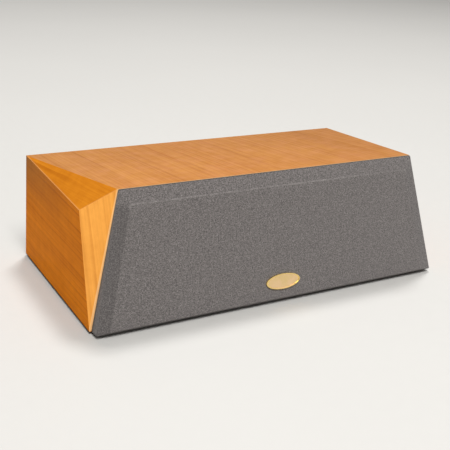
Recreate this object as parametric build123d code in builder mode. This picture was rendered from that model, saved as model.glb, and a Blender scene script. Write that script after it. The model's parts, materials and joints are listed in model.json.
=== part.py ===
"""Center channel speaker: a faceted wooden cabinet on rubber feet, with two woofers and a dome tweeter
behind a cloth grille that pulls off, and a recessed terminal cup at the back.

Millimetres, +Z up, front towards -Y. The origin is at the middle of the bounding box, on the floor.
"""
import os
from math import atan2, cos, hypot, radians, sin, sqrt, tan

from build123d import *

# Cabinet
cabinet_width = 610.0  # across the bottom
cabinet_depth = 303.5  # from the front's bottom edge to the back
front_height = 198.4  # measured up the leaning front
front_lean = 5.45  # degrees that the front leans back
side_lean = 2.15  # degrees that each side leans in
top_front_width = 512.8
facet_setback = 53.5  # where the facets meet on the side, behind the front's bottom edge
facet_height = 160.8  # where the facets meet on the side, above the underside
board_thickness = 18.0
baffle_lip = 3.0  # edge of the other boards that shows round the baffle
glue_gap = 0.1

# Feet
foot_height = 4.0
foot_radius = 9.0
foot_side_inset = 55.0
foot_end_inset = 45.0

# Grille
grille_standoff = 0.4  # gap between the baffle and the grille's back
grille_side_reveal = 2.5  # wood left bare beside the grille at the bottom
grille_top_reveal = 0.4  # the same at the top corners and along the top edge
grille_low_wall = 19.4  # how far the grille's outer wall stands off the baffle at the bottom
grille_high_wall = 3.0  # the same along the top
field_rise = 4.0  # how far the raised field stands off the walls' edges
ridge_top_inset = 21.0
ridge_bottom_inset = 3.2
ridge_side_inset = 18.5
cloth_thickness = 0.8
window_clearance = 4.0  # between the window's edge and the woofers
window_side_inset = 30.0
badge_width = 60.0
badge_height = 24.0
badge_thickness = 2.4
badge_rim = 1.8
badge_sink = 0.6  # how deep the badge's field lies inside its rim
badge_center = 29.6  # up the field
badge_pad_margin = 4.0
peg_radius = 4.0
peg_reach = 9.0  # length of a peg inside the baffle
peg_root = 5.0  # length of a peg inside the frame
peg_tip_gap = 0.5
peg_edge_margin = 5.0  # wood left between a peg's hole and the baffle's mitred edge
peg_pad_margin = 4.0
running_gap = 0.08  # radial clearance of a peg in its hole and a cap on its stud

# Woofers
flange_thickness = 4.0  # of every driver, let into the baffle so that its face is flush
woofer_offset = 165.0  # from the middle of the front
woofer_flange_radius = 70.0
woofer_cutout_radius = 58.0
can_gap = 1.0  # between the basket and the cutout
basket_depth = 42.0
basket_floor = 2.5
basket_wall = 2.5
basket_window_top = 6.0
basket_window_height = 22.0
basket_leg_width = 50.0
surround_lip = 6.0
surround_roll = 9.0  # width of the roll
surround_rise = 3.6
surround_thickness = 0.8
cone_lip = 3.0  # glued width of the surround on the cone
cone_depth = 10.0
cone_thickness = 1.2
coil_radius = 25.4
coil_wall = 0.6
coil_length = 46.0
cap_radius = 29.0
cap_thickness = 1.6
spider_depth = 33.0
spider_thickness = 0.8
soft_gap = 0.3  # around the spider
motor_radius = 50.0
motor_length = 30.0
coil_gap_depth = 18.0
pole_gap = 0.5  # on either side of the voice coil
terminal_width = 20.0
terminal_reach = 10.0
terminal_height = 8.0
terminal_depth = 22.0

# Tweeter
tweeter_face_radius = 50.0
tweeter_cutout_radius = 38.0
tweeter_throat_radius = 13.0
dome_radius = 9.5
dome_rise = 3.6
diaphragm_radius = 34.0
diaphragm_thickness = 2.0
tweeter_can_radius = 34.0
tweeter_can_length = 26.0

# Terminal cup and binding posts
cup_height = 87.0  # middle of the cup, above the underside
cup_width = 58.0
cup_body_height = 50.0
cup_flange_margin = 10.0
cup_flange_thickness = 3.0
cup_corner = 5.0
cup_wall = 2.5
cup_depth = 28.0
post_spacing = 19.0
stud_radius = 3.0
stud_inner_reach = 12.0
base_radius = 7.0
base_height = 4.0
cap_across = 13.0
cap_length = 16.0
cap_end = 3.0
turn_gap = 0.3  # between a cap and its base

# Crossover and leads
crossover_width = 130.0
crossover_depth = 104.0
crossover_thickness = 1.6
spacer_height = 10.0
spacer_across = 7.0
spacer_inset = 7.0
inductor_width = 30.0
inductor_length = 36.0
inductor_height = 26.0
inductor_offset = 43.0
capacitor_width = 14.0
capacitor_height = 22.0
capacitor_length = 32.0
capacitor_gap = 3.0
resistor_length = 34.0
resistor_side = 9.0
lead_width = 4.0
lead_thickness = 2.0
lead_edge = 9.0  # from the board's edges to the leads
input_lead_run = 30.0
woofer_lead_run = 55.0
woofer_lead_drop = 50.0

# Places and planes that the pieces share
lean = radians(front_lean)
side_run = tan(radians(side_lean))
grille_height = front_height - grille_top_reveal
grille_tilt = atan2(grille_low_wall - grille_high_wall, grille_height)
field_lean = lean + grille_tilt
badge_low = badge_center - badge_height / 2
badge_reach = (field_rise + badge_thickness) * cos(field_lean) - badge_low * sin(field_lean)
ridge_reach = field_rise * cos(field_lean) - ridge_bottom_inset * sin(field_lean)
front_reach = grille_low_wall * cos(lean) + max(badge_reach, ridge_reach)
rear_reach = cabinet_depth + cup_flange_thickness
front_edge = (front_reach - rear_reach) / 2
back_edge = front_edge + cabinet_depth
driver_height = front_height / 2
middle = Vector(0, 0, foot_height + driver_height)

front = Plane((0, front_edge, foot_height), x_dir=(1, 0, 0), z_dir=(0, -cos(lean), sin(lean)))
top = Plane(front.from_local_coords((0, front_height, 0)), x_dir=(1, 0, 0), z_dir=front.y_dir)
bottom = Plane((0, 0, foot_height), x_dir=(1, 0, 0), z_dir=(0, 0, -1))
back = Plane((0, back_edge, foot_height + cup_height), x_dir=(-1, 0, 0), z_dir=(0, 1, 0))


def on_front(across, up, out=0.0):
    """A point given across the front, up its slope and out of it."""
    return front.from_local_coords((across, up, out))


def plane_through(first, second, third):
    """The plane through three points, facing out of the cabinet."""
    normal = (second - first).cross(third - first)
    if normal.dot(first - middle) < 0:
        normal = -normal
    return Plane(first, x_dir=second - first, z_dir=normal)


def on_side(hand, depth, height):
    """A point on a side's outer face, given behind the front's bottom edge and above the underside."""
    return Vector(
        hand * (cabinet_width / 2 - height * side_run), front_edge + depth, foot_height + height
    )


def corner_faces(hand):
    """One end's three outer faces: the side, the top facet and the front facet."""
    front_bottom = on_side(hand, 0, 0)
    front_top = on_front(hand * top_front_width / 2, front_height)
    vertex = on_side(hand, facet_setback, facet_height)
    top_drop = (back_edge - front_top.Y) * tan(lean)
    back_top = on_side(hand, cabinet_depth, front_top.Z - top_drop - foot_height)
    side = plane_through(front_bottom, on_side(hand, cabinet_depth, 0), vertex)
    return side, plane_through(vertex, front_top, back_top), plane_through(vertex, front_top, front_bottom)


left_side, left_top_facet, left_front_facet = corner_faces(-1)
right_side, right_top_facet, right_front_facet = corner_faces(1)
walls = {
    "top_panel": top,
    "bottom_panel": bottom,
    "left_side_panel": left_side,
    "right_side_panel": right_side,
    "left_top_facet": left_top_facet,
    "right_top_facet": right_top_facet,
    "left_front_facet": left_front_facet,
    "right_front_facet": right_front_facet,
}
baffle_face = front.offset(baffle_lip)
joined_faces = [baffle_face, *walls.values()]
blank_size = 2 * (cabinet_width + cabinet_depth)

woofer_places = {"left": -woofer_offset, "right": woofer_offset}
grille_half_bottom = cabinet_width / 2 - grille_side_reveal
grille_half_top = top_front_width / 2 - grille_top_reveal


def grille_half_width(up):
    return grille_half_bottom + (grille_half_top - grille_half_bottom) * up / grille_height


os.makedirs("parts", exist_ok=True)


def finish(builder, label):
    """Names a finished piece and writes it."""
    builder.part.label = label
    export_step(builder.part, f"parts/{label}.step")


def mitre(face, other):
    """The plane midway between two faces, with the first face's board below it."""
    along = other.z_dir - face.z_dir * face.z_dir.dot(other.z_dir)
    reach = (other.origin - face.origin).dot(other.z_dir) / along.dot(other.z_dir)
    return Plane(face.origin + along * reach, z_dir=other.z_dir - face.z_dir)


peg_hole_radius = peg_radius + running_gap
peg_hole_depth = peg_reach + peg_tip_gap
peg_edge = peg_hole_radius + peg_edge_margin


def peg_across(row):
    """How far out a peg stands on a row, clear of the baffle's mitre with the front facet."""
    edge = mitre(baffle_face, right_front_facet)
    bottom_of_hole = on_front(0, row, -peg_hole_depth)
    lean_across = edge.z_dir.dot(front.x_dir)
    lean_in_plane = hypot(lean_across, edge.z_dir.dot(front.y_dir))
    reach = (edge.origin - bottom_of_hole).dot(edge.z_dir)
    return (reach - peg_edge * lean_in_plane) / lean_across


peg_lowest = baffle_lip + peg_hole_depth + peg_edge
peg_rows = (peg_lowest, grille_height - peg_lowest)
peg_places = [(hand * peg_across(row), row) for row in peg_rows for hand in (-1, 1)]


def blank(face):
    """An oversize board under a face."""
    with BuildSketch(face) as outline:
        Rectangle(blank_size, blank_size)
    extrude(outline.sketch, amount=-board_thickness)


def saw(face):
    """Cuts a board to its mitres with every face that it can meet."""
    for other in joined_faces:
        facing_away = face.z_dir.dot(other.z_dir) < -0.9
        if other is not face and not facing_away:
            split(bisect_by=mitre(face, other), keep=Keep.BOTTOM)


def on_seat(across, out=0.0):
    """A point on a driver's axis, given out of the seat that its flange lies on."""
    return on_front(across, driver_height, out - flange_thickness)


def spin(outline, across, mode=Mode.ADD):
    """Turns an outline of (radius, height) points about a driver's axis, with its seat at height 0."""
    center = on_seat(across)
    with BuildSketch(Plane(center, x_dir=(1, 0, 0), z_dir=-front.y_dir)) as profile:
        with BuildLine():
            Polyline(*outline, close=True)
        make_face()
    revolve(profile.sketch, axis=Axis(center, front.z_dir), mode=mode)


def ring(inner, outer, low, high):
    """The outline of a flat ring."""
    return [(inner, low), (outer, low), (outer, high), (inner, high)]


# Cabinet boards, mitred at every outer edge
for name, face in walls.items():
    with BuildPart() as wall:
        blank(face)
        split(bisect_by=front, keep=Keep.BOTTOM)
        split(bisect_by=back, keep=Keep.BOTTOM)
        saw(face)
    finish(wall, name)

# Baffle, with rebated cutouts for the drivers and blind holes for the grille's pegs
with BuildPart() as front_baffle:
    blank(front)
    saw(baffle_face)
    with BuildSketch(front):
        with Locations(*[(across, driver_height) for across in woofer_places.values()]):
            Circle(woofer_cutout_radius)
        with Locations((0, driver_height)):
            Circle(tweeter_cutout_radius)
    extrude(amount=-board_thickness, mode=Mode.SUBTRACT)
    with BuildSketch(front):
        with Locations(*[(across, driver_height) for across in woofer_places.values()]):
            Circle(woofer_flange_radius + glue_gap)
        with Locations((0, driver_height)):
            Circle(tweeter_face_radius + glue_gap)
    extrude(amount=-flange_thickness, mode=Mode.SUBTRACT)
    with BuildSketch(front):
        with Locations(*peg_places):
            Circle(peg_hole_radius)
    extrude(amount=-peg_hole_depth, mode=Mode.SUBTRACT)
finish(front_baffle, "front_baffle")

# Back, let in between the other boards, with the hole for the terminal cup
with BuildPart() as back_panel:
    blank(back)
    for face in walls.values():
        split(bisect_by=face.offset(-board_thickness), keep=Keep.BOTTOM)
    with BuildSketch(back):
        Rectangle(cup_width + 2 * glue_gap, cup_body_height + 2 * glue_gap)
    extrude(amount=-board_thickness, mode=Mode.SUBTRACT)
finish(back_panel, "back_panel")

# Feet, one under each corner of the cabinet
with BuildPart() as rubber_feet:
    foot_plane = Plane((0, front_edge + cabinet_depth / 2, foot_height / 2))
    foot_columns = cabinet_width - 2 * foot_side_inset
    foot_rows = cabinet_depth - 2 * foot_end_inset
    with Locations(foot_plane):
        with GridLocations(foot_columns, foot_rows, 2, 2):
            Cylinder(foot_radius, foot_height)
finish(rubber_feet, "rubber_feet")


# Grille
shoulder = Plane(
    on_front(0, 0, grille_low_wall),
    x_dir=(1, 0, 0),
    z_dir=front.z_dir * cos(grille_tilt) + front.y_dir * sin(grille_tilt),
)
field = shoulder.offset(field_rise)


def grille_outline(shrink):
    """The walls' corners across and up the baffle, moved in by a thickness."""
    low = shrink
    high = grille_height - shrink
    return [
        (-grille_half_width(low) + shrink, low),
        (grille_half_width(low) - shrink, low),
        (grille_half_width(high) - shrink, high),
        (-grille_half_width(high) + shrink, high),
    ]


def ridge_outline():
    """The same for the corners of the raised field."""
    low = ridge_bottom_inset
    high = grille_height - ridge_top_inset
    half_low = grille_half_width(low) - ridge_side_inset
    half_high = grille_half_width(high) - ridge_side_inset
    return [(-half_low, low), (half_low, low), (half_high, high), (-half_high, high)]


def section(face, corners):
    """A section of the grille: corners moved straight out of the baffle onto a face."""
    spots = []
    for across, up in corners:
        start = on_front(across, up)
        reach = (face.origin - start).dot(face.z_dir) / front.z_dir.dot(face.z_dir)
        spot = face.to_local_coords(start + front.z_dir * reach)
        spots.append((spot.X, spot.Y))
    with BuildSketch(face) as outline:
        Polygon(*spots, align=None)
    return outline.sketch


def grille_form(shrink, mode=Mode.ADD):
    """The grille's outer form: a wedge with straight walls, then bevels up to the raised field."""
    walls_outline = grille_outline(shrink)
    sections = [
        section(front.offset(grille_standoff), walls_outline),
        section(shoulder.offset(-shrink), walls_outline),
        section(field.offset(-shrink), ridge_outline()),
    ]
    loft(sections, ruled=True, mode=mode)


window_low = driver_height - woofer_flange_radius - window_clearance
window_high = driver_height + woofer_flange_radius + window_clearance
window_corners = [
    (-grille_half_width(window_low) + window_side_inset, window_low),
    (grille_half_width(window_low) - window_side_inset, window_low),
    (grille_half_width(window_high) - window_side_inset, window_high),
    (-grille_half_width(window_high) + window_side_inset, window_high),
]

with BuildPart() as grille_frame:
    grille_form(cloth_thickness)
    # Window, with the pads behind the badge and round the pegs left standing
    with BuildSketch(front):
        Polygon(*window_corners, align=None)
        with Locations((0, badge_center)):
            Rectangle(
                badge_width + 2 * badge_pad_margin, badge_height + 2 * badge_pad_margin, mode=Mode.SUBTRACT
            )
        with Locations(*peg_places):
            Circle(peg_radius + peg_pad_margin, mode=Mode.SUBTRACT)
    extrude(amount=grille_low_wall + field_rise, mode=Mode.SUBTRACT)
    with BuildSketch(front.offset(grille_standoff)):
        with Locations(*peg_places):
            Circle(peg_radius + glue_gap)
    extrude(amount=peg_root, mode=Mode.SUBTRACT)
finish(grille_frame, "grille_frame")

with BuildPart() as grille_cloth:
    grille_form(0)
    grille_form(cloth_thickness, mode=Mode.SUBTRACT)
finish(grille_cloth, "grille_cloth")

with BuildPart() as grille_badge:
    with BuildSketch(field):
        with Locations((0, badge_center)):
            Ellipse(badge_width / 2, badge_height / 2)
    extrude(amount=badge_thickness)
    with BuildSketch(field.offset(badge_thickness)):
        with Locations((0, badge_center)):
            Ellipse(badge_width / 2 - badge_rim, badge_height / 2 - badge_rim)
    extrude(amount=-badge_sink, mode=Mode.SUBTRACT)
finish(grille_badge, "grille_badge")

with BuildPart() as grille_pegs:
    with BuildSketch(front.offset(grille_standoff + peg_root)):
        with Locations(*peg_places):
            Circle(peg_radius)
    extrude(amount=-(peg_root + grille_standoff + peg_reach))
finish(grille_pegs, "grille_pegs")

# Woofer outlines
flange_front = flange_thickness
can_radius = woofer_cutout_radius - can_gap
mouth_radius = can_radius - basket_wall
cone_radius = mouth_radius - surround_roll
neck_height = flange_front - cone_depth
coil_bore_radius = coil_radius + pole_gap
pole_radius = coil_radius - coil_wall - pole_gap
basket_outline = [
    (mouth_radius, flange_front),
    (woofer_flange_radius, flange_front),
    (woofer_flange_radius, 0),
    (can_radius, 0),
    (can_radius, -basket_depth),
    (coil_bore_radius, -basket_depth),
    (coil_bore_radius, basket_floor - basket_depth),
    (mouth_radius, basket_floor - basket_depth),
]
roll_shoulder = surround_roll / 4
roll_front = flange_front + surround_thickness
surround_outline = [
    (mouth_radius + surround_lip, flange_front),
    (mouth_radius, roll_front),
    (mouth_radius - roll_shoulder, roll_front + surround_rise),
    (cone_radius + roll_shoulder, roll_front + surround_rise),
    (cone_radius, roll_front),
    (cone_radius - cone_lip, flange_front),
]
coil_inner_radius = coil_radius - coil_wall
cone_outline = [
    (cone_radius - cone_lip, flange_front),
    (cone_radius, flange_front),
    (cone_radius, flange_front - cone_thickness),
    (coil_radius, neck_height - cone_thickness),
    (coil_radius, neck_height - coil_length),
    (coil_inner_radius, neck_height - coil_length),
    (coil_inner_radius, neck_height),
]
cone_run = cone_depth / (cone_radius - cone_lip - coil_inner_radius)
cap_foot = neck_height + (cap_radius - coil_inner_radius) * cone_run
cap_outline = ring(0, cap_radius, cap_foot, cap_foot + cap_thickness)
spider_outline = ring(
    coil_radius + glue_gap,
    mouth_radius - soft_gap,
    -spider_depth - spider_thickness,
    -spider_depth,
)
motor_front = -basket_depth
motor_outline = [
    (0, motor_front),
    (pole_radius, motor_front),
    (pole_radius, motor_front - coil_gap_depth),
    (coil_bore_radius, motor_front - coil_gap_depth),
    (coil_bore_radius, motor_front),
    (motor_radius, motor_front),
    (motor_radius, motor_front - motor_length),
    (0, motor_front - motor_length),
]

with BuildPart() as woofer_baskets:
    for across in woofer_places.values():
        spin(basket_outline, across)
        window_plane = Plane(on_seat(across, -basket_window_top), x_dir=(1, 0, 0), z_dir=front.z_dir)
        with BuildSketch(window_plane):
            Circle(can_radius + can_gap)
            Circle(mouth_radius - can_gap, mode=Mode.SUBTRACT)
            Rectangle(2 * woofer_flange_radius, basket_leg_width, mode=Mode.SUBTRACT)
        extrude(amount=-basket_window_height, mode=Mode.SUBTRACT)
finish(woofer_baskets, "woofer_baskets")

for label, outline in {
    "woofer_surrounds": surround_outline,
    "woofer_spiders": spider_outline,
    "woofer_motors": motor_outline,
}.items():
    with BuildPart() as woofer_pair:
        for across in woofer_places.values():
            spin(outline, across)
    finish(woofer_pair, label)

# Moving pieces: a cone with its coil former, and a dust cap over the former's end
for side, across in woofer_places.items():
    for label, outline in {"cone": cone_outline, "dust_cap": cap_outline}.items():
        with BuildPart() as moving_piece:
            spin(outline, across)
        finish(moving_piece, f"{side}_{label}")

# Terminal strips, on the side of each basket that faces the tweeter
basket_side = ring(0, can_radius + glue_gap, -basket_depth, 0)
terminal_places = {}
with BuildPart() as woofer_terminals:
    for side, across in woofer_places.items():
        inward = -1 if across > 0 else 1
        terminal_places[side] = across + inward * can_radius
        strip_plane = Plane(
            on_seat(terminal_places[side], -terminal_depth), x_dir=(1, 0, 0), z_dir=front.z_dir
        )
        with BuildSketch(strip_plane):
            Rectangle(2 * terminal_reach, terminal_width)
        extrude(amount=-terminal_height)
        spin(basket_side, across, mode=Mode.SUBTRACT)
finish(woofer_terminals, "woofer_terminals")

# Tweeter
with BuildPart() as tweeter_faceplate:
    spin(ring(tweeter_throat_radius, tweeter_face_radius, 0, flange_thickness), 0)
finish(tweeter_faceplate, "tweeter_faceplate")

dome_sphere = (dome_radius**2 + dome_rise**2) / (2 * dome_rise)
dome_shoulder = dome_radius / 2
shoulder_rise = sqrt(dome_sphere**2 - dome_shoulder**2) - dome_sphere + dome_rise
dome_outline = [
    (0, dome_rise),
    (dome_shoulder, shoulder_rise),
    (dome_radius, 0),
    (diaphragm_radius, 0),
    (diaphragm_radius, -diaphragm_thickness),
    (0, -diaphragm_thickness),
]
with BuildPart() as tweeter_diaphragm:
    spin(dome_outline, 0)
finish(tweeter_diaphragm, "tweeter_diaphragm")

tweeter_can_rear = -diaphragm_thickness - tweeter_can_length
with BuildPart() as tweeter_motor:
    spin(ring(0, tweeter_can_radius, tweeter_can_rear, -diaphragm_thickness), 0)
finish(tweeter_motor, "tweeter_motor")

# Terminal cup
cup_mouth = back.offset(cup_flange_thickness)
cup_floor = cup_mouth.offset(-cup_depth)
post_places = {"red": (-post_spacing / 2, 0), "black": (post_spacing / 2, 0)}
with BuildPart() as terminal_cup:
    with BuildSketch(back):
        RectangleRounded(
            cup_width + 2 * cup_flange_margin, cup_body_height + 2 * cup_flange_margin, cup_corner
        )
    extrude(amount=cup_flange_thickness)
    with BuildSketch(back):
        Rectangle(cup_width, cup_body_height)
    extrude(amount=-(cup_depth + cup_wall - cup_flange_thickness))
    with BuildSketch(cup_mouth):
        Rectangle(cup_width - 2 * cup_wall, cup_body_height - 2 * cup_wall)
    extrude(amount=-cup_depth, mode=Mode.SUBTRACT)
    with BuildSketch(cup_floor):
        with Locations(*post_places.values()):
            Circle(stud_radius + glue_gap)
    extrude(amount=-cup_wall, mode=Mode.SUBTRACT)
finish(terminal_cup, "terminal_cup")

# Binding posts: a hexagonal base with a stud through the cup's floor, and a cap that turns on the stud
cap_foot_plane = cup_floor.offset(base_height + turn_gap)
stud_tip = cup_floor.offset(base_height + cap_length - cap_end)
stud_end_depth = cup_wall + stud_inner_reach
for colour, place in post_places.items():
    with BuildPart() as post:
        with BuildSketch(cup_floor):
            with Locations(place):
                RegularPolygon(base_radius, 6)
        extrude(amount=base_height)
        with BuildSketch(stud_tip):
            with Locations(place):
                Circle(stud_radius)
        extrude(amount=-(base_height + cap_length - cap_end + stud_end_depth))
    finish(post, f"{colour}_post")
    with BuildPart() as post_cap:
        with BuildSketch(cap_foot_plane):
            with Locations(place):
                RegularPolygon(cap_across / 2, 12)
        extrude(amount=cap_length)
        with BuildSketch(cap_foot_plane):
            with Locations(place):
                Circle(stud_radius + running_gap)
        extrude(amount=cap_length - cap_end, mode=Mode.SUBTRACT)
    finish(post_cap, f"{colour}_post_cap")

# Crossover on the bottom board, with its rear edge under the input leads
stud_end = back_edge + cup_flange_thickness - cup_depth - stud_end_depth
input_lead_back = stud_end - input_lead_run
crossover_rear = input_lead_back + lead_edge
crossover_middle = crossover_rear - crossover_depth / 2
crossover_front = crossover_rear - crossover_depth
spacer_foot = foot_height + board_thickness
crossover_top = spacer_foot + spacer_height + crossover_thickness
crossover_plane = Plane((0, crossover_middle, crossover_top))

with BuildPart() as crossover_board:
    with BuildSketch(crossover_plane):
        Rectangle(crossover_width, crossover_depth)
    extrude(amount=-crossover_thickness)
finish(crossover_board, "crossover_board")

with BuildPart() as board_spacers:
    with BuildSketch(crossover_plane.offset(-crossover_thickness)):
        with GridLocations(
            crossover_width - 2 * spacer_inset, crossover_depth - 2 * spacer_inset, 2, 2
        ):
            RegularPolygon(spacer_across / 2, 6)
    extrude(amount=-spacer_height)
finish(board_spacers, "board_spacers")

with BuildPart() as crossover_inductors:
    with BuildSketch(crossover_plane):
        with GridLocations(2 * inductor_offset, 0, 2, 1):
            Rectangle(inductor_width, inductor_length)
    extrude(amount=inductor_height)
finish(crossover_inductors, "crossover_inductors")

with BuildPart() as crossover_capacitors:
    with BuildSketch(crossover_plane):
        with GridLocations(capacitor_width + capacitor_gap, 0, 2, 1):
            Rectangle(capacitor_width, capacitor_length)
    extrude(amount=capacitor_height)
finish(crossover_capacitors, "crossover_capacitors")

resistor_row = crossover_depth / 2 - lead_edge - resistor_side
with BuildPart() as crossover_resistors:
    with BuildSketch(crossover_plane):
        with Locations((-inductor_offset, resistor_row), (inductor_offset, resistor_row)):
            Rectangle(resistor_length, resistor_side)
    extrude(amount=resistor_side)
finish(crossover_resistors, "crossover_resistors")


# Leads
def lead(points):
    """A flat lead through points."""
    with BuildLine() as route:
        Polyline(*points)
    with BuildSketch(Plane(points[0], z_dir=points[1] - points[0])) as section_outline:
        Rectangle(lead_width, lead_thickness)
    sweep(section_outline.sketch, path=route.line, transition=Transition.RIGHT)


def input_lead_points(place):
    across = -place[0]
    height = foot_height + cup_height
    return [
        Vector(across, stud_end, height),
        Vector(across, input_lead_back, height),
        Vector(across, input_lead_back, crossover_top),
    ]


def woofer_lead_points(side):
    start_depth = -terminal_depth - terminal_height
    tag = terminal_places[side] + (terminal_reach / 2 if side == "left" else -terminal_reach / 2)
    landing_across = inductor_offset if side == "right" else -inductor_offset
    landing = Vector(landing_across, crossover_front + lead_edge, crossover_top)
    return [
        on_seat(tag, start_depth),
        on_seat(tag, start_depth - woofer_lead_run),
        landing + Vector(0, 0, woofer_lead_drop),
        landing,
    ]


def tweeter_lead_points():
    start = on_seat(0, tweeter_can_rear)
    landing = Vector(0, crossover_front + lead_edge, crossover_top)
    run = (landing.Y - start.Y) / cos(lean)
    return [start, start - front.z_dir * run, landing]


with BuildPart() as internal_leads:
    for place in post_places.values():
        lead(input_lead_points(place))
    for side in woofer_places:
        lead(woofer_lead_points(side))
    lead(tweeter_lead_points())
finish(internal_leads, "internal_leads")
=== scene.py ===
"""Looks of a center channel speaker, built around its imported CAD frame.

Metres, +Z up, front towards -Y, in the frame's own axes.
"""

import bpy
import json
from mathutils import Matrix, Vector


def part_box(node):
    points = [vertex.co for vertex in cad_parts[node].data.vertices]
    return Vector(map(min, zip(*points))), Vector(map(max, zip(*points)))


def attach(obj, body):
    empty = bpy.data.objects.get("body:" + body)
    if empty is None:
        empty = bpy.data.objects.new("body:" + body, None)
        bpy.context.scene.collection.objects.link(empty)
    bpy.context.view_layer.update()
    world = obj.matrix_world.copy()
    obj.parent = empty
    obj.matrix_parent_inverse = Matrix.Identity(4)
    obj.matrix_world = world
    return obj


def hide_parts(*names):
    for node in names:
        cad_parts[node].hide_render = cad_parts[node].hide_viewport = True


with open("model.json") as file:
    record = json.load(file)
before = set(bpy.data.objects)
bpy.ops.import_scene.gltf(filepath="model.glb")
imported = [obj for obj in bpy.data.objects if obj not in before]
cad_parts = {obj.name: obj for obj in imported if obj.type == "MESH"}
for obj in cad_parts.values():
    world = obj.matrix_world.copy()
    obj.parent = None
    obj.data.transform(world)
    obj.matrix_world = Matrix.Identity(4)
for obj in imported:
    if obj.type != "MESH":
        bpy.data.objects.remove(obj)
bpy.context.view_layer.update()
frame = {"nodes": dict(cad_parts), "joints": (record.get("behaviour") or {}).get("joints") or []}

import json
from math import cos, pi, radians, sin

import bmesh
import bpy
from mathutils import Matrix, Vector

MM = 0.001

# Axes of the object, and of its leaning front, from the way that the grille pulls off
pull = next(joint for joint in frame["joints"] if joint["name"] == "grille_pull")
ACROSS = Vector((1, 0, 0))
BEHIND = Vector((0, 1, 0))
UPRIGHT = Vector((0, 0, 1))
OUT = Vector(pull["axis"]).normalized()
UP = OUT.cross(ACROSS).normalized()
FRONT_FOOT = Vector((0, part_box("bottom_panel")[0][1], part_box("bottom_panel")[0][2]))


def on_front(across, up, out):
    """A point across the front, up its slope and out of it."""
    return FRONT_FOOT + ACROSS * across + UP * up + OUT * out


# Cabinet corners, which set the grain of the facets and their pale edges, partly wear and mostly painted
# highlight
HALF_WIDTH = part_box("right_side_panel")[1][0]
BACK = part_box("top_panel")[1][1]
FRONT_HEIGHT = 198.4 * MM
TOP_HALF_WIDTH = 256.4 * MM
VERTEX_INSET = 6 * MM
VERTEX_DEPTH = 53.5 * MM
VERTEX_HEIGHT = 160.8 * MM
GRAIN_END_HEIGHT = 170 * MM
FACET_VERTEX = Vector((HALF_WIDTH - VERTEX_INSET, FRONT_FOOT.y + VERTEX_DEPTH, FRONT_FOOT.z + VERTEX_HEIGHT))
FACET_TOP = on_front(TOP_HALF_WIDTH, FRONT_HEIGHT, 0)
FACET_FOOT = Vector((HALF_WIDTH, FRONT_FOOT.y, FRONT_FOOT.z))
FACET_EDGE = (FACET_VERTEX + FACET_TOP) / 2
SIDE_OUT = BEHIND.cross(FACET_VERTEX - FACET_FOOT).normalized()
FRONT_FACET_OUT = (FACET_VERTEX - FACET_FOOT).cross(FACET_TOP - FACET_FOOT).normalized()
TOP_RUN = UP.cross(ACROSS).normalized()
TOP_FACET_RUN = (Vector((HALF_WIDTH, BACK, GRAIN_END_HEIGHT)) - FACET_EDGE).normalized()
FRONT_FACET_RUN = (FACET_EDGE - FACET_FOOT).normalized()

# Grille sizes
GRILLE_HEIGHT = 198 * MM
GRILLE_HALF_BOTTOM = 302.5 * MM
GRILLE_HALF_TOP = 256 * MM
GRILLE_BACK = 0.4 * MM
GRILLE_LOW_WALL = 19.4 * MM
GRILLE_HIGH_WALL = 3 * MM
FIELD_RISE = 4 * MM
RIDGE_TOP_INSET = 21 * MM
RIDGE_BOTTOM_INSET = 3.2 * MM
RIDGE_SIDE_INSET = 18.5 * MM
CLOTH_THICKNESS = 0.7 * MM


def tone(red, green, blue):
    """A screen colour, 0 to 255, as a shader colour."""
    def linear(value):
        share = value / 255
        return share / 12.92 if share <= 0.04045 else ((share + 0.055) / 1.055) ** 2.4
    return (linear(red), linear(green), linear(blue), 1)


# Colours of the wood, the cloth and the badge. The top, front facet, top facet and side cherry below are one
# wood painted lighter or darker per board, as painted light and shade for how light falls on each face
CHERRY_TOP = (0.41, 0.167, 0.037, 1)
CHERRY_FRONT = (0.82, 0.346, 0.06, 1)
CHERRY_FACET = (0.5, 0.166, 0.0095, 1)
CHERRY_SIDE = (0.7, 0.206, 0.0085, 1)
CHERRY_END = (0.5, 0.2, 0.035, 1)
# Painted shade for the sides' upper corner at the back
CHERRY_CORNER_SHADE = (0.25, 0.118, 0.038, 1)
# Pale edge colour: partly wear, mostly a painted highlight of light caught by rounded edges
CHERRY_WEAR_AND_HIGHLIGHT = tone(252, 220, 172)
CHERRY_STREAK = tone(150, 84, 32)
CHERRY_ARCH = tone(168, 98, 44)
CHERRY_FLUSH = tone(192, 130, 96)
# Dark underside paint, also painted as shade on each board's lowest millimetre
UNDERSIDE_PAINT_AND_SHADE = tone(38, 22, 14)
DARK_YARN = tone(64, 60, 58)
PALE_YARN = tone(135, 129, 127)
# Painted shade on the cloth's bevels and along the top wall
SHADED_CLOTH = tone(40, 38, 37)
# Painted highlight along the cloth's ridge
RIDGE_HIGHLIGHT_CLOTH = tone(190, 184, 180)
BADGE_YELLOW = tone(255, 223, 163)
BADGE_PINK = tone(255, 220, 173)
BADGE_RIM = tone(250, 216, 140)

# Places in the wood, on the top from its front edge and from the middle
GRAIN_SWAY = 12 * MM
RINGS_PER_METRE = 95.0
# How far from a face the pale edge of wear and painted highlight starts and is full
EDGE_HIGHLIGHT_FROM, EDGE_HIGHLIGHT_TO = 1.4 * MM, 0.4 * MM
# Heights above the underside where the painted gap shade is full and where it ends
GAP_SHADE_FULL, GAP_SHADE_END = 0.5 * MM, 1.3 * MM
STREAK_ACROSS = -105 * MM
STREAK_BEND = 22 * MM
STREAK_CORE, STREAK_EDGE = 0.4 * MM, 3.2 * MM
ARCH_ACROSS = -52 * MM
ARCH_CURVE = 60.0
ARCH_WAVES = 210.0

# Most of a noise lies between these two values
NOISE_LOW, NOISE_HIGH = 0.3, 0.7


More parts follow.
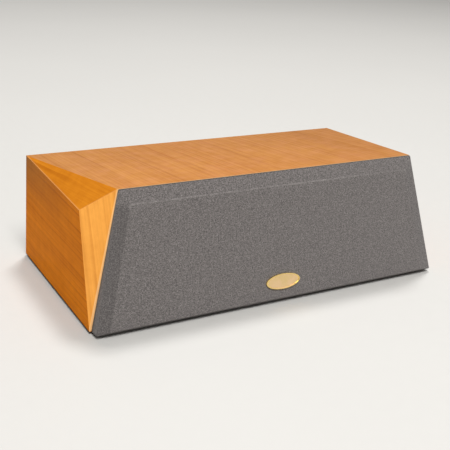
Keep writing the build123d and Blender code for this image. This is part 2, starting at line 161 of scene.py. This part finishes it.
class Look:
    """A material and the nodes that the looks below share."""

    def __init__(self, name, **constants):
        self.material = bpy.data.materials.new(name)
        self.material.use_nodes = True
        self.tree = self.material.node_tree
        self.shader = self.tree.nodes["Principled BSDF"]
        for socket, value in constants.items():
            self.shader.inputs[socket.replace("_", " ")].default_value = value
        self.place = self.add("ShaderNodeTexCoord").outputs["Object"]

    def add(self, kind, inputs=None, **settings):
        node = self.tree.nodes.new(kind)
        for name, value in settings.items():
            setattr(node, name, value)
        for key, value in (inputs or {}).items():
            if isinstance(value, bpy.types.NodeSocket):
                self.tree.links.new(value, node.inputs[key])
            else:
                node.inputs[key].default_value = value
        return node

    def math(self, operation, first, second=0.0, third=0.0):
        values = {0: first, 1: second, 2: third}
        return self.add("ShaderNodeMath", values, operation=operation).outputs[0]

    def times(self, first, second):
        return self.math("MULTIPLY", first, second)

    def along(self, direction):
        """The distance along a direction."""
        inputs = {0: self.place, 1: tuple(direction)}
        return self.add("ShaderNodeVectorMath", inputs, operation="DOT_PRODUCT").outputs["Value"]

    def attribute(self, name):
        """A value that the mesh carries."""
        return self.add("ShaderNodeAttribute", attribute_name=name).outputs["Fac"]

    def point(self, x, y, z=0.0):
        return self.add("ShaderNodeCombineXYZ", {0: x, 1: y, 2: z}).outputs[0]

    def scaled_point(self, x, x_scale, y, y_scale, z=0.0):
        """A point for a noise that is finer one way than the other."""
        return self.point(self.times(x, x_scale), self.times(y, y_scale), z)

    def noise(self, vector, scale=1.0, detail=2.0, roughness=0.5):
        inputs = {"Vector": vector, "Scale": scale, "Detail": detail, "Roughness": roughness}
        return self.add("ShaderNodeTexNoise", inputs).outputs[0]

    def remap(self, value, low, high, to_low=0.0, to_high=1.0):
        inputs = {0: value, 1: low, 2: high, 3: to_low, 4: to_high}
        return self.add("ShaderNodeMapRange", inputs, clamp=True).outputs[0]

    def vary(self, noise, to_low, to_high):
        """A value that follows a noise."""
        return self.remap(noise, NOISE_LOW, NOISE_HIGH, to_low, to_high)

    def mix(self, share, first, second, blend="MIX"):
        inputs = {0: share, 6: first, 7: second}
        return self.add("ShaderNodeMix", inputs, data_type="RGBA", blend_type=blend).outputs[2]

    def shaded(self, colour, shade):
        """A colour made lighter or darker by a factor."""
        return self.mix(1.0, colour, self.point(shade, shade, shade), "MULTIPLY")

    def paint(self, socket, value):
        self.tree.links.new(value, self.shader.inputs[socket])

    def bump(self, height, depth, strength=1.0):
        inputs = {"Height": height, "Distance": depth, "Strength": strength}
        self.paint("Normal", self.add("ShaderNodeBump", inputs).outputs[0])


def veneer(name, grain, across, colour, seed, contrast=1.0, gloss=0.0, worn=(), figure=None):
    """Lacquered cherry with its grain along one direction.

    The board's end at the back has one colour on every board. The underside is painted dark, and the same
    dark is painted
    1 mm up each board as painted shade that darkens the gap under the cabinet. A worn edge is painted paler
    next to another face, partly wear and mostly a painted highlight for light caught by a rounded edge, given
    by that face's direction, a point on it and how pale the edge is. A figure, of grain or of painted light
    and shade, is painted over the plain grain by the function that it names.
    """
    look = Look(name, Coat_Weight=0.07, Coat_Roughness=0.25, Specular_IOR_Level=gloss)
    run = look.along(grain)
    side = look.along(across)

    def streaks(place, fineness, run_fineness, detail, roughness=0.5, shift=0.0):
        """A noise that is drawn out along the grain."""
        point = look.scaled_point(place, fineness, run, run_fineness, seed + shift)
        return look.noise(point, detail=detail, roughness=roughness)

    sway = look.noise(look.scaled_point(run, 2.5, side, 7.0, seed))
    ring = look.math("MULTIPLY_ADD", sway, GRAIN_SWAY, side)
    band = streaks(ring, 38.0, 0.9, 3, 0.6)
    line = streaks(ring, 260.0, 2.6, 4, 0.6)
    fibre = streaks(side, 1300.0, 30.0, 3)
    patches = streaks(side, 45.0, 3.0, 2, shift=9.0)
    cloud = look.noise(look.place, 7.0)
    mottle = look.noise(look.place, 55.0, 3, 0.6)
    phase = look.math("MULTIPLY_ADD", ring, RINGS_PER_METRE, look.times(band, 2.6))
    late_wood = look.remap(look.math("FRACT", phase), 0.62, 0.96)
    late_wood = look.times(late_wood, look.remap(patches, 0.4, 0.62))
    shade = look.vary(band, 1 + 0.08 * contrast, 1 - 0.09 * contrast)
    shade = look.times(shade, look.math("MULTIPLY_ADD", late_wood, -0.26 * contrast, 1.03))
    shade = look.times(shade, look.remap(line, 0.34, 0.7, 1.05, 1 - 0.17 * contrast))
    shade = look.times(shade, look.remap(fibre, 0.3, 0.72, 1.03, 0.93))
    shade = look.times(shade, look.vary(cloud, 0.94, 1.06))
    shade = look.times(shade, look.vary(mottle, 0.93, 1.07))
    # Darker grain is redder too
    red = look.math("POWER", shade, 0.7)
    blue = look.math("POWER", shade, 1.35)
    at_back = look.remap(look.along(BEHIND), BACK - 0.5 * MM, BACK - 0.2 * MM)
    colour = look.mix(at_back, colour, CHERRY_END)
    paint = look.mix(1.0, colour, look.point(red, shade, blue), "MULTIPLY")
    if figure:
        paint = figure(look, run, side, paint)
    # Pale worn edges: partly wear, mostly a painted highlight of light caught by the rounded edge
    for outward, point, paleness in worn:
        face = outward.dot(point)
        near = look.remap(look.along(outward), face - EDGE_HIGHLIGHT_FROM, face - EDGE_HIGHLIGHT_TO, 0.0, paleness)
        paint = look.mix(near, paint, CHERRY_WEAR_AND_HIGHLIGHT)
    # Dark paint on the underside, and painted shade 1 mm up each board that darkens the gap under the cabinet
    underside = FRONT_FOOT.z
    below = look.remap(look.along(UPRIGHT), underside + GAP_SHADE_FULL, underside + GAP_SHADE_END, 0.9, 0.0)
    paint = look.mix(below, paint, UNDERSIDE_PAINT_AND_SHADE)
    look.paint("Base Color", paint)
    look.paint("Roughness", look.vary(line, 0.34, 0.46))
    look.bump(look.math("MULTIPLY_ADD", fibre, 0.5, line), 0.03 * MM, 0.5)
    return look.material


def top_figure(look, run, side, paint):
    """The top's dark streak and arches of grain, a pinkish mottle, and painted light that is lighter towards
    the front and darker towards the back and the right.
    """
    behind = look.math("SUBTRACT", run, TOP_RUN.dot(FACET_TOP))
    waver = look.noise(look.point(look.times(behind, 14.0), 0.0, 3.1))
    bend = look.remap(behind, 0.0, 100 * MM, -STREAK_BEND, 0.0)
    line_place = look.math("MULTIPLY_ADD", waver, 12 * MM, look.math("ADD", bend, STREAK_ACROSS))
    away = look.math("ABSOLUTE", look.math("SUBTRACT", side, line_place))
    streak = look.remap(away, STREAK_CORE, STREAK_EDGE, 0.5, 0.0)
    streak = look.times(streak, look.remap(behind, 80 * MM, 170 * MM, 0.12, 1.0))
    paint = look.mix(streak, paint, CHERRY_STREAK)
    arch_side = look.math("SUBTRACT", side, ARCH_ACROSS)
    arch = look.math("MULTIPLY_ADD", look.times(arch_side, arch_side), ARCH_CURVE, behind)
    arch = look.math("MULTIPLY_ADD", waver, 30 * MM, arch)
    wave = look.math("SINE", look.times(arch, ARCH_WAVES))
    inside = look.remap(look.math("ABSOLUTE", arch_side), 12 * MM, 50 * MM, 1.0, 0.0)
    arches = look.times(look.remap(wave, 0.2, 1.0, 0.0, 0.16), inside)
    paint = look.mix(arches, paint, CHERRY_ARCH)
    flush = look.noise(look.place, 38.0, 3, 0.6)
    paint = look.mix(look.remap(flush, 0.42, 0.68, 0.0, 0.2), paint, CHERRY_FLUSH)
    # Painted light and shade: lighter towards the front edge, darker towards the back and the right side
    paler = look.remap(behind, 0.0, 280 * MM, 1.05, 0.93)
    paler = look.times(paler, look.remap(side, 0.0, 240 * MM, 1.0, 0.91))
    return look.shaded(paint, paler)


def side_corner_shade(look, run, side, paint):
    """Painted shade on the sides, darkest in the upper corner at the back."""
    height = look.remap(side, 100 * MM, 190 * MM)
    depth = look.remap(run, -60 * MM, BACK)
    share = look.times(look.times(height, depth), 0.88)
    return look.mix(share, paint, CHERRY_CORNER_SHADE)


def moulded(name, colour, rough, grain, depth=0.03, spread=0.12, **constants):
    """A plain surface with a fine grain in its colour, gloss and height.

    The grain is per metre and its depth in millimetres. The spread is how far the colour strays.
    """
    look = Look(name, **constants)
    fine = look.noise(look.place, grain, 3, 0.6)
    broad = look.noise(look.place, grain / 40)
    both = look.math("MULTIPLY_ADD", broad, 0.5, look.times(fine, 0.5))
    look.paint("Base Color", look.shaded(colour, look.vary(both, 1 - spread, 1 + spread)))
    look.paint("Roughness", look.vary(fine, rough - 0.07, rough + 0.07))
    look.bump(fine, depth * MM)
    return look.material


def woven_cloth():
    """Grille cloth of dark and pale yarn, with painted shade on its bevels and top wall and a painted
    highlight along the ridge.
    """
    look = Look(
        "woven_cloth", Roughness=0.92, Specular_IOR_Level=0.15, Sheen_Weight=0.15, Sheen_Roughness=0.6
    )
    across = look.along(ACROSS)
    out = look.along(OUT)
    warp = look.math("ADD", across, out)
    weft = look.math("ADD", look.along(UP), out)
    turns = 2 * pi / (1.1 * MM)
    warp_wave = look.math("SINE", look.times(warp, turns))
    weft_wave = look.math("SINE", look.times(weft, turns))
    weave = look.remap(look.times(warp_wave, weft_wave), -1, 1)
    yarn = look.noise(look.scaled_point(warp, 500.0, weft, 750.0), detail=3, roughness=0.7)
    blotch = look.noise(look.place, 300.0, roughness=0.7)
    colour = look.mix(look.remap(yarn, 0.32, 0.68), DARK_YARN, PALE_YARN)
    colour = look.shaded(colour, look.remap(weave, 0.0, 0.5, 0.72, 1.0))
    colour = look.shaded(colour, look.vary(blotch, 0.74, 1.26))
    # Painted shade on the cloth where it lies on the frame's bevel and along the top wall's back edge
    colour = look.mix(look.times(look.attribute("painted_cloth_shade"), 0.3), colour, SHADED_CLOTH)
    # Painted highlight along the ridge, uneven and fading towards the right
    uneven = look.noise(look.point(look.times(across, 70.0), 0.0, 5.5))
    ridge_highlight = look.times(look.attribute("ridge_highlight"), look.remap(uneven, 0.35, 0.65, 0.06, 0.19))
    ridge_highlight = look.times(ridge_highlight, look.remap(across, 50 * MM, 200 * MM, 1.0, 0.45))
    look.paint("Base Color", look.mix(ridge_highlight, colour, RIDGE_HIGHLIGHT_CLOTH))
    look.bump(look.math("MULTIPLY_ADD", yarn, 0.6, weave), 0.25 * MM, 0.7)
    return look.material


def badge_metal():
    """Brushed pale gold inside a polished rim."""
    low, high = (Vector(corner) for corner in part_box("grille_badge"))
    middle = (low + high) / 2
    half = (high - low) / 2
    look = Look("badge_metal", Metallic=1.0)
    across = look.math("DIVIDE", look.along(ACROSS), half.x)
    up = look.math("DIVIDE", look.math("SUBTRACT", look.along(UPRIGHT), middle.z), half.z)
    radius = look.math("SQRT", look.math("MULTIPLY_ADD", across, across, look.times(up, up)))
    rim = look.remap(radius, 0.87, 0.91)
    brushed = look.noise(look.scaled_point(across, 3.0, up, 160.0), detail=3)
    cloud = look.noise(look.place, 90.0)
    worn = look.math("MULTIPLY_ADD", cloud, 0.6, look.times(brushed, 0.4))
    field = look.mix(look.remap(cloud, 0.35, 0.65), BADGE_YELLOW, BADGE_PINK)
    field = look.shaded(field, look.vary(worn, 0.9, 1.05))
    look.paint("Base Color", look.mix(rim, field, BADGE_RIM))
    look.paint("Roughness", look.remap(rim, 0.0, 1.0, 0.5, 0.26))
    look.bump(brushed, 0.01 * MM)
    return look.material


def mirrored(vector, hand):
    return Vector((vector.x * hand, vector.y, vector.z))


# The worn edges given below are painted highlights, partly wear
looks = {
    "top_panel": veneer(
        "veneer_top", TOP_RUN, ACROSS, CHERRY_TOP, 1.7, contrast=0.85, gloss=0.04,
        worn=[(OUT, FRONT_FOOT, 0.3)], figure=top_figure
    ),
    "bottom_panel": veneer("veneer_bottom", ACROSS, BEHIND, CHERRY_SIDE, 5.1),
}
for hand, side in ((-1, "left"), (1, "right")):
    facet_run = mirrored(TOP_FACET_RUN, hand)
    facet_across = facet_run.cross(UPRIGHT).normalized()
    vertex = mirrored(FACET_VERTEX, hand)
    looks[f"{side}_side_panel"] = veneer(
        f"veneer_{side}_side", BEHIND, UPRIGHT, CHERRY_SIDE, 11.3 + hand, figure=side_corner_shade
    )
    looks[f"{side}_top_facet"] = veneer(
        f"veneer_{side}_top_facet", facet_run, facet_across, CHERRY_FACET, 17.9 + hand, contrast=1.3,
        worn=[(mirrored(SIDE_OUT, hand), vertex, 0.14), (mirrored(FRONT_FACET_OUT, hand), vertex, 0.1)]
    )
    looks[f"{side}_front_facet"] = veneer(
        f"veneer_{side}_front_facet", mirrored(FRONT_FACET_RUN, hand), ACROSS, CHERRY_FRONT, 23.5 + hand,
        contrast=1.2, gloss=0.1, worn=[(OUT, FRONT_FOOT, 0.4)]
    )

black_paint = moulded("black_paint", tone(24, 24, 25), 0.55, 700.0, 0.06)
black_plastic = moulded("black_plastic", tone(22, 22, 23), 0.42, 1500.0)
black_steel = moulded("black_steel", tone(26, 26, 28), 0.38, 600.0, 0.04, Metallic=0.2)
black_rubber = moulded("black_rubber", tone(20, 20, 20), 0.75, 1800.0)
motor_steel = moulded("motor_steel", tone(120, 120, 122), 0.35, 400.0, 0.02, Metallic=1.0)
screw_steel = moulded("screw_steel", tone(92, 92, 97), 0.32, 900.0, 0.01, Metallic=0.9)
plug_metal = moulded("plug_metal", tone(226, 180, 96), 0.25, 900.0, 0.01, Metallic=1.0)
cone_sheet = moulded("cone_sheet", tone(44, 44, 47), 0.4, 2500.0, 0.02, 0.3)
spider_cloth = moulded("spider_cloth", tone(170, 130, 60), 0.85, 900.0, 0.1)
strip_board = moulded("strip_board", tone(110, 80, 45), 0.6, 500.0)
dome_cloth = moulded("dome_cloth", tone(28, 28, 30), 0.55, 3000.0)
red_plastic = moulded("red_plastic", tone(170, 22, 20), 0.25, 1500.0, 0.02)
circuit_board = moulded("circuit_board", tone(40, 92, 50), 0.4, 300.0)
white_plastic = moulded("white_plastic", tone(222, 219, 208), 0.5, 600.0)
copper_winding = moulded("copper_winding", tone(168, 96, 52), 0.3, 800.0, 0.05, Metallic=0.8)
yellow_film = moulded("yellow_film", tone(205, 160, 50), 0.25, 300.0)
lead_sleeve = moulded("lead_sleeve", tone(70, 70, 74), 0.5, 700.0)
pale_floor = moulded("pale_floor", tone(185, 183, 179), 0.7, 60.0, 0.02, 0.015)

looks |= {
    "front_baffle": black_paint, "back_panel": black_paint, "grille_frame": black_paint,
    "rubber_feet": black_rubber, "grille_pegs": black_plastic, "grille_badge": badge_metal(),
    "woofer_baskets": black_steel, "woofer_surrounds": black_rubber, "woofer_spiders": spider_cloth,
    "woofer_motors": motor_steel, "woofer_terminals": strip_board, "left_cone": cone_sheet,
    "right_cone": cone_sheet, "left_dust_cap": cone_sheet, "right_dust_cap": cone_sheet,
    "tweeter_faceplate": black_plastic, "tweeter_diaphragm": dome_cloth, "tweeter_motor": motor_steel,
    "terminal_cup": black_plastic, "red_post": red_plastic, "black_post": black_plastic,
    "red_post_cap": red_plastic, "black_post_cap": black_plastic, "crossover_board": circuit_board,
    "board_spacers": white_plastic, "crossover_inductors": copper_winding,
    "crossover_capacitors": yellow_film, "crossover_resistors": white_plastic, "internal_leads": lead_sleeve,
}
for name, material in looks.items():
    mesh = frame["nodes"][name].data
    mesh.materials.clear()
    mesh.materials.append(material)


def soften(name, width):
    """Rounds a node's sharp edges."""
    node = frame["nodes"][name]
    joined = node.modifiers.new("joined", "WELD")
    joined.merge_threshold = 0.002 * MM
    rounded = node.modifiers.new("rounded", "BEVEL")
    rounded.width = width
    rounded.segments = 2
    rounded.limit_method = "ANGLE"
    rounded.angle_limit = radians(25)


for name, width in {
    "red_post_cap": 0.6 * MM, "black_post_cap": 0.6 * MM, "terminal_cup": 0.5 * MM,
    "rubber_feet": 0.8 * MM, "grille_badge": 0.3 * MM,
}.items():
    soften(name, width)


# Screws and plug sockets
RING_STEPS = 24
HEXAGON_TURN = pi / 3
DRIVER_HEIGHT = FRONT_HEIGHT / 2
WOOFER_OFFSET = 165 * MM
WOOFER_SCREW_CIRCLE = 65.3 * MM
TWEETER_SCREW_CIRCLE = 43.5 * MM
CUP_SCREW_INSET = 5.2 * MM

# The radius and the height of each kind
WOOFER_SCREW = (3.2 * MM, 1.8 * MM)
TWEETER_SCREW = (2.8 * MM, 1.6 * MM)
CUP_SCREW = (2.6 * MM, 1.2 * MM)
PLUG_SOCKET = (3.8 * MM, 0.8 * MM)

# Each step of a profile has its share of the radius and of the height, and whether it is a hexagon
SCREW_PROFILE = [
    (1.0, 0.0, False), (1.0, 0.35, False), (0.94, 0.62, False), (0.76, 0.9, False), (0.6, 1.0, False),
    (0.46, 0.98, True), (0.44, 0.3, True),
]
PLUG_SOCKET_PROFILE = [
    (1.0, 0.0, False), (1.0, 0.6, False), (0.9, 1.0, False), (0.7, 1.0, False), (0.62, 0.8, False),
    (0.6, 0.1, False),
]


def turned_ring(radius, hexagonal):
    """A turned piece's outline at one height: a circle, or the hexagon of a screw's socket."""
    points = []
    for step in range(RING_STEPS):
        angle = 2 * pi * step / RING_STEPS
        reach = radius
        if hexagonal:
            reach = radius / cos(angle % HEXAGON_TURN - HEXAGON_TURN / 2)
        points.append((reach * cos(angle), reach * sin(angle)))
    return points


def turned(name, profile, places, out, size, metal, body):
    """Small turned pieces that stand on a face, each with a hollow in its end."""
    radius, height = size
    up = out.cross(ACROSS).normalized()
    shape = bmesh.new()
    for place in places:
        rings = []
        for share, rise, hexagonal in profile:
            rings.append([
                shape.verts.new(place + ACROSS * x + up * y + out * (height * rise))
                for x, y in turned_ring(radius * share, hexagonal)
            ])
        for lower, upper in zip(rings, rings[1:]):
            for index in range(RING_STEPS):
                after = (index + 1) % RING_STEPS
                face = shape.faces.new((lower[index], lower[after], upper[after], upper[index]))
                face.smooth = upper is not rings[-1]
        shape.faces.new(rings[-1]).material_index = 1
        shape.faces.new(rings[0][::-1])
    mesh = bpy.data.meshes.new(name)
    shape.to_mesh(mesh)
    shape.free()
    mesh.materials.append(metal)
    mesh.materials.append(black_plastic)
    piece = bpy.data.objects.new(name, mesh)
    bpy.context.collection.objects.link(piece)
    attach(piece, body)


def screws(name, places, out, size):
    turned(name, SCREW_PROFILE, places, out, size, screw_steel, "cabinet")


def round_places(across, radius):
    """Four places round a driver's axis, on the face of its flange."""
    turns = [pi / 4 + quarter * pi / 2 for quarter in range(4)]
    return [on_front(across + radius * cos(turn), DRIVER_HEIGHT + radius * sin(turn), 0) for turn in turns]


woofer_places = [
    place for across in (-WOOFER_OFFSET, WOOFER_OFFSET) for place in round_places(across, WOOFER_SCREW_CIRCLE)
]
screws("woofer_screws", woofer_places, OUT, WOOFER_SCREW)
screws("tweeter_screws", round_places(0, TWEETER_SCREW_CIRCLE), OUT, TWEETER_SCREW)
cup_low, cup_high = (Vector(corner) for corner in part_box("terminal_cup"))
cup_places = [
    Vector((x, cup_high.y, z))
    for x in (cup_low.x + CUP_SCREW_INSET, cup_high.x - CUP_SCREW_INSET)
    for z in (cup_low.z + CUP_SCREW_INSET, cup_high.z - CUP_SCREW_INSET)
]
screws("cup_screws", cup_places, BEHIND, CUP_SCREW)
for colour in ("red", "black"):
    low, high = (Vector(corner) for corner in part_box(f"{colour}_post_cap"))
    cap_end = Vector(((low.x + high.x) / 2, high.y, (low.z + high.z) / 2))
    turned(
        f"{colour}_plug_socket", PLUG_SOCKET_PROFILE, [cap_end], BEHIND, PLUG_SOCKET, plug_metal,
        f"{colour}_cap"
    )


# Grille cloth
CORNER_RADIUS = 2 * MM
CORNER_STEPS = 4
EDGE_STEPS = 24
# Painted shade: a dark line along the top wall's back edge for the shadow gap, and less shade on the right
# bevel than on the left
TOP_WALL_SHADE = 2.4
RIGHT_BEVEL_SHADE = 0.3
NEAR_TOP = GRILLE_HEIGHT - RIDGE_TOP_INSET - 5 * MM

# Each step has its share of the way in to the ridge, of the wall and of the rise, then its share of painted
# shade where the cloth lies on the frame's bevel and its share of painted highlight where it is stretched
# over the ridge
CLOTH_PROFILE = [
    (0.0, 0.0, 0.0, 0.4, 0), (0.0, 0.45, 0.0, 0.4, 0), (0.0, 0.88, 0.0, 0.4, 0), (0.012, 0.96, 0.0, 0.7, 0),
    (0.045, 1.0, 0.03, 1, 0), (0.12, 1.0, 0.12, 1, 0), (0.45, 1.0, 0.45, 1, 0), (0.8, 1.0, 0.8, 1, 0),
    (0.93, 1.0, 0.92, 1, 0), (0.98, 1.0, 0.962, 0.9, 1), (1.03, 1.0, 0.99, 0.35, 1), (1.08, 1.0, 1.0, 0, 0),
    (1.25, 1.0, 1.0, 0, 0),
]


def grille_half_width(up):
    return GRILLE_HALF_BOTTOM + (GRILLE_HALF_TOP - GRILLE_HALF_BOTTOM) * up / GRILLE_HEIGHT


def shoulder(up):
    """How far the grille's wall stands out of the baffle."""
    return GRILLE_LOW_WALL + (GRILLE_HIGH_WALL - GRILLE_LOW_WALL) * up / GRILLE_HEIGHT


def trapezoid(low, high, inset):
    half_low = grille_half_width(low) - inset
    half_high = grille_half_width(high) - inset
    corners = ((-half_low, low), (half_low, low), (half_high, high), (-half_high, high))
    return [Vector(corner) for corner in corners]


WALL_CORNERS = trapezoid(0, GRILLE_HEIGHT, 0)
RIDGE_CORNERS = trapezoid(RIDGE_BOTTOM_INSET, GRILLE_HEIGHT - RIDGE_TOP_INSET, RIDGE_SIDE_INSET)


def rounded_loop(share):
    """The grille's outline, a share of the way from its wall to its ridge, with small round corners."""
    corners = [wall.lerp(ridge, share) for wall, ridge in zip(WALL_CORNERS, RIDGE_CORNERS)]
    points = []
    for index, corner in enumerate(corners):
        before = (corners[index - 1] - corner).normalized() * CORNER_RADIUS
        after = (corners[(index + 1) % 4] - corner).normalized() * CORNER_RADIUS
        for step in range(CORNER_STEPS + 1):
            turn = step / CORNER_STEPS
            points.append(corner + before * (1 - turn) ** 2 + after * turn**2)
        start = corner + after
        ahead = corners[(index + 1) % 4] - after
        for step in range(1, EDGE_STEPS):
            points.append(start.lerp(ahead, step / EDGE_STEPS))
    return points


def stretched_cloth():
    """The cloth from the wall's back edge, over the shoulder and the ridge, across the field."""
    shape = bmesh.new()
    painted_cloth_shade = shape.verts.layers.float.new("painted_cloth_shade")
    ridge_highlight = shape.verts.layers.float.new("ridge_highlight")
    loops = []
    for share, wall_share, rise_share, cloth_shade_share, highlight_share in CLOTH_PROFILE:
        loop = []
        for point in rounded_loop(share):
            wall = GRILLE_BACK + (shoulder(point.y) - GRILLE_BACK) * wall_share
            vertex = shape.verts.new(on_front(point.x, point.y, wall + FIELD_RISE * rise_share))
            near_top = point.y > NEAR_TOP
            # Painted shade: full on the left bevel, less on the right, and a dark line along the top wall
            vertex[painted_cloth_shade] = 0 if near_top else cloth_shade_share * (1 if point.x < 0 else RIGHT_BEVEL_SHADE)
            if point.y > GRILLE_HEIGHT - CORNER_RADIUS:
                vertex[painted_cloth_shade] = TOP_WALL_SHADE if wall_share < 1 else 0
            # Painted highlight over the ridge along the top
            vertex[ridge_highlight] = highlight_share if near_top else 0
            loop.append(vertex)
        loops.append(loop)
    for lower, upper in zip(loops, loops[1:]):
        for index in range(len(lower)):
            after = (index + 1) % len(lower)
            shape.faces.new((lower[index], lower[after], upper[after], upper[index]))
    shape.faces.new(loops[-1])
    for face in shape.faces:
        face.smooth = True
    area = sum(face.calc_area() for face in shape.faces)
    mesh = bpy.data.meshes.new("stretched_cloth")
    shape.to_mesh(mesh)
    shape.free()
    mesh.materials.append(woven_cloth())
    cloth = bpy.data.objects.new("stretched_cloth", mesh)
    bpy.context.collection.objects.link(cloth)
    thickness = cloth.modifiers.new("thickness", "SOLIDIFY")
    thickness.thickness = CLOTH_THICKNESS
    thickness.offset = -1
    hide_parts("grille_cloth")
    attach(cloth, "grille")


stretched_cloth()

# Floor, light and camera
FLOOR_SIZE = 12.0
WORLD_COLOUR = (1.0, 0.99, 0.97, 1)
WORLD_STRENGTH = 0.3
LIGHT_TARGET = Vector((0, 0, 0.1))
EYE = Vector((-654.8, -1095.9, 553.8)) * MM
PITCH_DOWN = radians(20.79)
YAW_RIGHT = radians(30.31)
ROLL = radians(3.21)
FOCAL_PIXELS = 815.3
PHOTO_PIXELS = 450
SENSOR = 36.0

floor_mesh = bpy.data.meshes.new("floor")
floor_mesh.from_pydata(
    [(FLOOR_SIZE * x, FLOOR_SIZE * y, 0) for x, y in ((-1, -1), (1, -1), (1, 1), (-1, 1))], [], [(0, 1, 2, 3)]
)
floor_mesh.materials.append(pale_floor)
floor = bpy.data.objects.new("floor", floor_mesh)
bpy.context.collection.objects.link(floor)

scene = bpy.context.scene
scene.view_settings.view_transform = "Standard"
world = bpy.data.worlds.new("studio")
scene.world = world
world.use_nodes = True
background = world.node_tree.nodes["Background"]
background.inputs["Color"].default_value = WORLD_COLOUR
background.inputs["Strength"].default_value = WORLD_STRENGTH


def soft_light(name, place, size, power):
    lamp = bpy.data.lights.new(name, "AREA")
    lamp.size = size
    lamp.energy = power
    light = bpy.data.objects.new(name, lamp)
    light.location = place
    light.rotation_euler = (LIGHT_TARGET - Vector(place)).to_track_quat("-Z", "Y").to_euler()
    bpy.context.collection.objects.link(light)


soft_light("key_light", (-1.15, -3.85, 6.4), 3.0, 592)
soft_light("top_light", (1.35, 2.04, 6.3), 1.2, 314)

camera_data = bpy.data.cameras.new("camera")
camera_data.sensor_width = SENSOR
camera_data.lens = FOCAL_PIXELS / PHOTO_PIXELS * SENSOR
camera = bpy.data.objects.new("camera", camera_data)
yaw = Matrix.Rotation(-YAW_RIGHT, 4, "Z")
pitch = Matrix.Rotation(pi / 2 - PITCH_DOWN, 4, "X")
roll = Matrix.Rotation(ROLL, 4, "Z")
camera.matrix_world = Matrix.Translation(EYE) @ yaw @ pitch @ roll
bpy.context.collection.objects.link(camera)
scene.camera = camera
